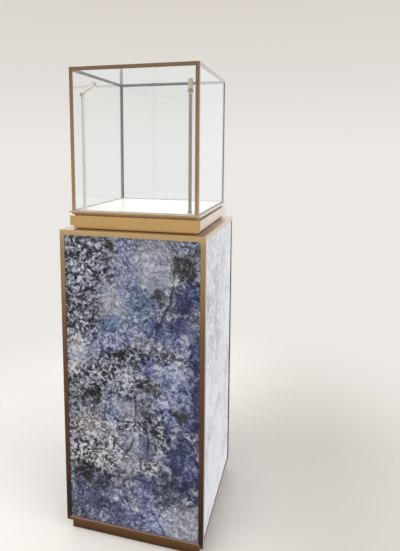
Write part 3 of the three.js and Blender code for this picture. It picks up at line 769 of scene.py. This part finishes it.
def turned(outline, steps=ROUND_STEPS):
    """A form turned round Z from its section's points (radius, height), in metres.

    A section that starts on the axis ends there too; any other one is closed.
    """
    bm = bmesh.new()
    points = [bm.verts.new((radius, 0.0, height)) for radius, height in outline]
    pairs = list(zip(points, points[1:]))
    if outline[0][0] > 0:
        pairs.append((points[-1], points[0]))
    edges = [bm.edges.new(pair) for pair in pairs]
    bmesh.ops.spin(
        bm,
        geom=points + edges,
        axis=(0, 0, 1),
        cent=(0, 0, 0),
        angle=math.tau,
        steps=steps,
        use_merge=True,
        use_duplicate=False,
    )
    bmesh.ops.remove_doubles(bm, verts=bm.verts, dist=MERGE_REACH)
    return bm


def settle(bm, name, material, body, place):
    """Makes a piece of a bmesh, puts it in its place and lets it ride a body."""
    bmesh.ops.transform(bm, matrix=place, verts=bm.verts)
    bmesh.ops.recalc_face_normals(bm, faces=bm.faces)
    mesh = bpy.data.meshes.new(name)
    bm.to_mesh(mesh)
    bm.free()
    mesh.materials.append(material)
    mesh.shade_smooth()
    mesh.set_sharp_from_angle(angle=SMOOTH_ANGLE)
    piece = bpy.data.objects.new(name, mesh)
    bpy.context.scene.collection.objects.link(piece)
    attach(piece, body)


def aimed(foot, direction):
    """The place of a form that stands on foot with its Z along direction."""
    return Matrix.Translation(foot) @ direction.to_track_quat("Z", "Y").to_matrix().to_4x4()


def tilt_pin(side):
    """The middle of a lamp's pivot and the direction of its pin."""
    joint = next(joint for joint in frame["joints"] if joint["name"] == f"lamp_{side}_tilt")
    return Vector(joint["pos_m"]), Vector(joint["axis"])


MM = 0.001
MOUTH = (5.6 * MM, 47.8 * MM)  # radius of the reflector's front, and how far it is from the pivot
THROAT = (1.9 * MM, 38.5 * MM)  # the same of its back
REFLECTOR_WALL = 0.35 * MM
REFLECTOR_STEPS = 10
EMITTER_BOARD = (5.3 * MM, 1.4 * MM)  # radius, thickness
EMITTER_RADIUS = 1.7 * MM
EMITTER_STEPS = 24
EMITTER_RISE = 0.5  # share of its radius
# The emitter's section: shares of its radius, and of the way down from its top.
EMITTER_DOME = [(0, 1), (1, 1), (0.92, 0.6), (0.7, 0.25), (0.4, 0.06), (0, 0)]
PIVOT_CAP_FACE = 7.3 * MM  # from the middle of the lamp to the face of the pivot's cap
SCREW_RADIUS = 2.3 * MM
SCREW_STEPS = 24
SCREW_RISE = 0.25 * MM
SCREW_FLARE = 1.06  # how much wider the head is where it meets the cap
SOCKET_SIDES = 6
SOCKET_SHARE = 0.52  # of the screw's radius
SOCKET_DEPTH = 0.18 * MM
SOCKET_TAPER = 0.96  # how much narrower the socket is at its floor
NUT_SIDES = 6
NUT_CORNER = 9.6 * MM
NUT_BORE = 7.6 * MM
NUT_LOW = 6.1 * MM  # heights above the floor
NUT_HIGH = 10.9 * MM
NUT_CHAMFER = 0.7 * MM
BEAD = 2.5 * MM
BEAD_STEPS = 6


def hollow():
    """Points of a bead's face between (1, 0) and (0, 1), hollowed towards its corner (0, 0)."""
    angles = [math.pi / 2 * step / BEAD_STEPS for step in range(BEAD_STEPS + 1)]
    return [(1 - math.sin(angle), 1 - math.cos(angle)) for angle in angles]


def add_lamp_optics(side, mirror, board, phosphor):
    """The reflector and the light source behind a lamp's lens."""
    pivot, _ = tilt_pin(side)
    low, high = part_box(f"lamp_{side}_lens")
    place = aimed(pivot, (Vector(low) + Vector(high)) / 2 - pivot)
    spot = f"lamp_{side}_spot"

    inner = []
    for step in range(REFLECTOR_STEPS + 1):
        share = step / REFLECTOR_STEPS
        radius = math.sqrt(THROAT[0] ** 2 + (MOUTH[0] ** 2 - THROAT[0] ** 2) * share)
        inner.append((radius, THROAT[1] + (MOUTH[1] - THROAT[1]) * share))
    outer = [(radius + REFLECTOR_WALL / 2, height - REFLECTOR_WALL) for radius, height in inner]
    bowl = turned(inner + outer[::-1])
    settle(bowl, f"lamp_{side}_reflector", mirror, spot, place)

    radius, thick = EMITTER_BOARD
    top = THROAT[1] - REFLECTOR_WALL
    disc = [(0, top - thick), (radius, top - thick), (radius, top), (0, top)]
    settle(turned(disc), f"lamp_{side}_emitter_board", board, spot, place)
    height = EMITTER_RADIUS * EMITTER_RISE
    dome = [(EMITTER_RADIUS * out, top + height * (1 - down)) for out, down in EMITTER_DOME]
    settle(turned(dome, EMITTER_STEPS), f"lamp_{side}_emitter", phosphor, spot, place)


def ring(bm, sides, radius):
    """The edges of a new polygon round the origin."""
    corners = bmesh.ops.create_circle(bm, segments=sides, radius=radius)["verts"]
    return list(dict.fromkeys(edge for corner in corners for edge in corner.link_edges))


def add_pivot_screws(side):
    """A screw with a six-sided socket in each cap of a lamp's pivot."""
    pivot, axis = tilt_pin(side)
    for end, hand in (("outer", 1), ("inner", -1)):
        bm = bmesh.new()
        rim = ring(bm, SCREW_STEPS, SCREW_RADIUS)
        socket = ring(bm, SOCKET_SIDES, SCREW_RADIUS * SOCKET_SHARE)
        bmesh.ops.bridge_loops(bm, edges=rim + socket)
        for edges, drop, spread in (
            (socket, SOCKET_DEPTH, SOCKET_TAPER),
            (rim, SCREW_RISE, SCREW_FLARE),
        ):
            grown = bmesh.ops.extrude_edge_only(bm, edges=edges)["geom"]
            corners = [part for part in grown if isinstance(part, bmesh.types.BMVert)]
            bmesh.ops.scale(bm, vec=(spread, spread, 1), verts=corners)
            bmesh.ops.translate(bm, vec=(0, 0, -drop), verts=corners)
        bmesh.ops.holes_fill(bm, edges=[edge for edge in bm.edges if edge.is_boundary], sides=0)
        face = pivot + axis * hand * (PIVOT_CAP_FACE + SCREW_RISE)
        place = aimed(face, axis * hand)
        settle(bm, f"lamp_{side}_screw_{end}", ZINC, f"lamp_{side}_arm", place)


def add_lock_nuts():
    """A six-sided nut round the collar of each levelling foot."""
    section = [
        (NUT_BORE, NUT_LOW),
        (NUT_CORNER - NUT_CHAMFER, NUT_LOW),
        (NUT_CORNER, NUT_LOW + NUT_CHAMFER),
        (NUT_CORNER, NUT_HIGH - NUT_CHAMFER),
        (NUT_CORNER - NUT_CHAMFER, NUT_HIGH),
        (NUT_BORE, NUT_HIGH),
    ]
    for corner in CORNERS:
        low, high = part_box(f"levelling_foot_{corner}")
        centre = Vector(((low[0] + high[0]) / 2, (low[1] + high[1]) / 2, 0))
        place = Matrix.Translation(centre)
        nut = turned(section, NUT_SIDES)
        settle(nut, f"foot_nut_{corner}", ZINC, f"foot_{corner}", place)


def add_hood_beads():
    """Beads of clear silicone, tooled hollow, along the hood's inner edges."""
    silicone = moulded("clear_bead", tone(232, 236, 234), 0.22, 0.08, Transmission_Weight=0.75)
    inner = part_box("glass_right")[0][0]
    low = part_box("glass_seal")[1][2]
    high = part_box("glass_top")[0][2]
    outline = [(0, 0)] + hollow()
    for corner, (x, y) in zip(CORNERS, CORNER_SIGNS):
        bm = bmesh.new()
        section = bm.faces.new([bm.verts.new((BEAD * u, BEAD * v, low)) for u, v in outline])
        grown = bmesh.ops.extrude_face_region(bm, geom=[section])["geom"]
        top = [part for part in grown if isinstance(part, bmesh.types.BMVert)]
        bmesh.ops.translate(bm, vec=(0, 0, high - BEAD - low), verts=top)
        bmesh.ops.scale(bm, vec=(-x, -y, 1), verts=bm.verts)
        place = Matrix.Translation((x * inner, y * inner, 0))
        settle(bm, f"hood_bead_{corner}", silicone, "hood", place)
    diagonal = math.sqrt(2)
    section = [(diagonal * inner, high)]
    section += [(diagonal * (inner - BEAD * u), high - BEAD * v) for u, v in hollow()]
    square = Matrix.Rotation(math.pi / 4, 4, "Z")
    settle(turned(section, 4), "hood_bead_top", silicone, "hood", square)


def add_pieces():
    mirror = satin("vapour_mirror", tone(236, 236, 238), roughness=MIRROR_ROUGHNESS)
    board = moulded("emitter_board", tone(236, 236, 232), 0.4, 0.06)
    phosphor = moulded("phosphor", tone(244, 214, 120), 0.35, 0.1)
    for side in ("left", "right"):
        add_lamp_optics(side, mirror, board, phosphor)
        add_pivot_screws(side)
    add_lock_nuts()
    add_hood_beads()


# ---------------------------------------------------------------- room
WALL_TONES = [  # how far up the view points, 0 level and 1 overhead, and the wall's colour there
    (0.00, (236, 232, 228)),
    (0.12, (227, 222, 217)),
    (0.35, (214, 208, 200)),
]
HORIZON = tone(*WALL_TONES[0][1])
SHINE = tone(252, 252, 254)  # what metal, stone and glass reflect
FLOOR = tone(252, 249, 244)
SHADED_FLOOR = tone(206, 201, 192)
SHADE_SPAN = (-0.1, 0.7)  # metres to the right, where the floor's shade starts and where it is full
FADE_SPAN = (0.6, 1.8)  # metres from the case, where the floor turns into the wall
FLOOR_SHINE = 0.9  # share of SHINE in the floor where something mirrors it
FLOOR_RADIUS = 9.0
FLOOR_STEPS = 96
FLOOR_ROUGHNESS = 0.6
FLOOR_CLOUDS = 1.4  # cells to the metre
ROOM_LIGHT = (1.0, 0.995, 0.99, 1.0)
ROOM_STRENGTH = 0.62
SUN_COLOUR = (1.0, 0.985, 0.97)


def seen_as(room, kind):
    """1 for one kind of ray, and otherwise 0."""
    return room.node("LightPath", out=f"Is {kind} Ray")


def reflected(room):
    """1 where a surface mirrors the room, but not where it is seen through glass."""
    return seen_as(room, "Glossy") * (1.0 - seen_as(room, "Transmission"))


def add_floor():
    bm = bmesh.new()
    bmesh.ops.create_circle(bm, cap_ends=True, segments=FLOOR_STEPS, radius=FLOOR_RADIUS)
    mesh = bpy.data.meshes.new("floor")
    bm.to_mesh(mesh)
    bm.free()
    floor = bpy.data.objects.new("floor", mesh)
    bpy.context.scene.collection.objects.link(floor)
    finish = Finish("plain_floor", Roughness=FLOOR_ROUGHNESS)
    spot = finish.place()
    shade = finish.split(spot)[0].rise(*SHADE_SPAN)
    shaded = shade * 0.8 + finish.noise(spot, FLOOR_CLOUDS, 3, 0.5) * 0.2
    finish.set("Base Color", finish.mix(shaded, FLOOR, SHADED_FLOOR))
    mirror = reflected(finish)
    seen = seen_as(finish, "Camera").most(seen_as(finish, "Transmission")).most(mirror)
    far = (spot.length().rise(*FADE_SPAN) * seen).most(mirror * FLOOR_SHINE)
    near = Value(finish, finish.shader.outputs[0])
    wall = finish.node("Emission", [finish.mix(mirror, HORIZON, SHINE), 1.0])
    finish.output(finish.node("MixShader", [far, near, wall]))
    mesh.materials.append(finish.material)


def add_world():
    world = bpy.data.worlds.new("studio")
    bpy.context.scene.world = world
    world.use_nodes = True
    room = Room(world.node_tree)
    upward = room.split(room.node("TexCoord", out="Generated"))[2]
    top = WALL_TONES[-1][0]
    wall = room.ramp(upward / top, [(height / top, tone(*shade)) for height, shade in WALL_TONES])
    mirror = reflected(room)
    shown = room.node("Background", [room.mix(mirror, wall, SHINE), 1.0])
    lit = room.node("Background", [ROOM_LIGHT, ROOM_STRENGTH])
    seen = seen_as(room, "Camera").most(seen_as(room, "Transmission")).most(mirror)
    chosen = room.node("MixShader", [seen, lit, shown])
    room.tree.links.new(chosen.socket, room.tree.nodes["World Output"].inputs["Surface"])


def add_sun(name, azimuth, elevation, strength, spread):
    """Soft light from far off. Azimuth 0 shines from the front and 90 from the right."""
    data = bpy.data.lights.new(name, "SUN")
    data.energy = strength
    data.angle = math.radians(spread)
    data.color = SUN_COLOUR
    lamp = bpy.data.objects.new(name, data)
    bpy.context.scene.collection.objects.link(lamp)
    side = math.radians(azimuth)
    lift = math.radians(elevation)
    source = Vector((
        math.sin(side) * math.cos(lift),
        -math.cos(side) * math.cos(lift),
        math.sin(lift),
    ))
    lamp.rotation_mode = "QUATERNION"
    lamp.rotation_quaternion = source.to_track_quat("Z", "Y")


add_camera()
dress_all()
add_pieces()
add_floor()
add_world()
add_sun("key", azimuth=-35, elevation=48, strength=1.25, spread=50)
add_sun("window", azimuth=70, elevation=35, strength=1.0, spread=60)
bpy.context.scene.view_settings.view_transform = "Standard"
